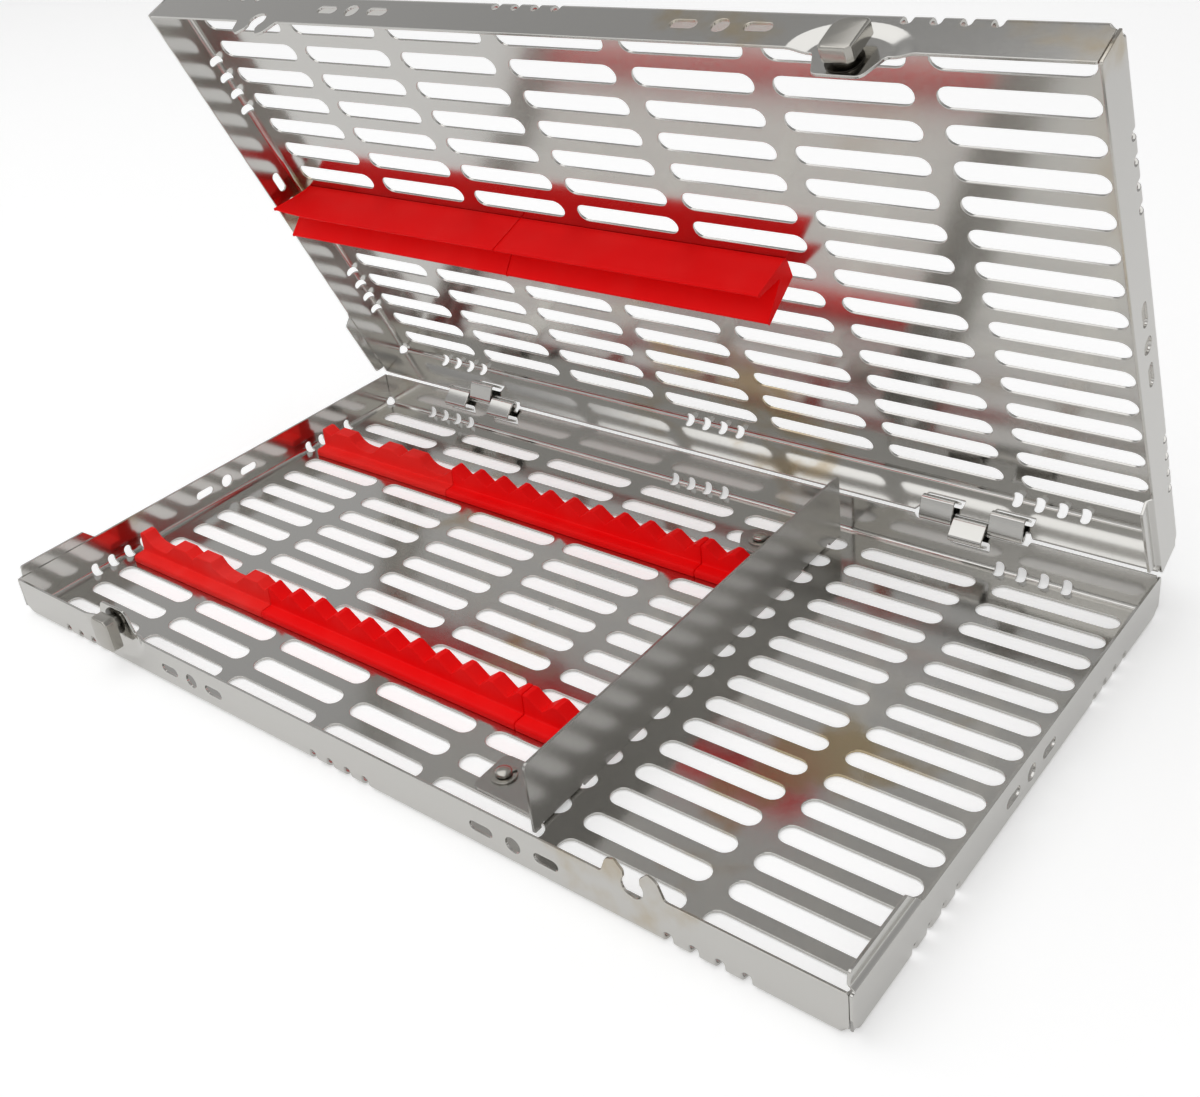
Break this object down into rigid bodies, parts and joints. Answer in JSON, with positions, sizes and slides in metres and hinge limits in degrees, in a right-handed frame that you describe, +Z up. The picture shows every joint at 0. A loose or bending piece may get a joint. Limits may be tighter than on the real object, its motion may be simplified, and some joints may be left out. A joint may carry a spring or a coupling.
{
  "type": "dental instrument cassette",
  "caption": "Perforated folded-sheet cassette with a strap-hinged lid, swivel latches, notched silicone rails, a hold-down bar and a divider for carrying and sterilising dental instruments.",
  "frame": {"origin": "under the middle of the open cassette's bounding box, on the plane that the base rests on", "axes": "+X along the cassette's length and its hinge, +Y from the latched front to the hinged back, +Z up out of the base"},
  "size_m": [0.3, 0.184, 0.1735],
  "materials": {
    "tray_steel": "electropolished stainless sheet, near mirror with soft blurred reflections",
    "fitting_steel": "satin stainless",
    "divider_steel": "fine satin stainless sheet, greyer than the trays",
    "silicone": "smooth semi-matt silicone rubber"
  },
  "bodies": {
    "base": {"base_tray": "tray_steel", "hinge_pin_left": "fitting_steel", "hinge_pin_right": "fitting_steel", "rail_rear_left": "silicone", "rail_rear_middle": "silicone", "rail_rear_right": "silicone", "rail_front_left": "silicone", "rail_front_middle": "silicone", "rail_front_right": "silicone", "divider_plate": "divider_steel", "divider_stud_front": "fitting_steel", "divider_stud_rear": "fitting_steel", "stud_ring_front": "fitting_steel", "stud_ring_rear": "fitting_steel"},
    "lid": {"lid_tray": "tray_steel", "lid_bar_left": "silicone", "lid_bar_right": "silicone"},
    "base_latch": {"base_latch_lever": "fitting_steel", "base_latch_washer": "fitting_steel"},
    "lid_latch": {"lid_latch_lever": "fitting_steel", "lid_latch_washer": "fitting_steel"}
  },
  "joints": [
    {"name": "lid_hinge", "type": "hinge", "parent": "base", "child": "lid", "pos_m": [0, 0.0801, 0.0136], "axis": [-1, 0, 0], "range_deg": [-66, 44]},
    {"name": "base_latch_swivel", "type": "hinge", "parent": "base", "child": "base_latch", "pos_m": [-0.0966, -0.0879, 0.0147], "axis": [0, -1, 0], "range_deg": [0, 90]},
    {"name": "lid_latch_swivel", "type": "hinge", "parent": "lid", "child": "lid_latch", "pos_m": [0.0966, 0.01076, 0.16663], "axis": [0, -0.4067, 0.9135], "range_deg": [0, 90]}
  ]
}
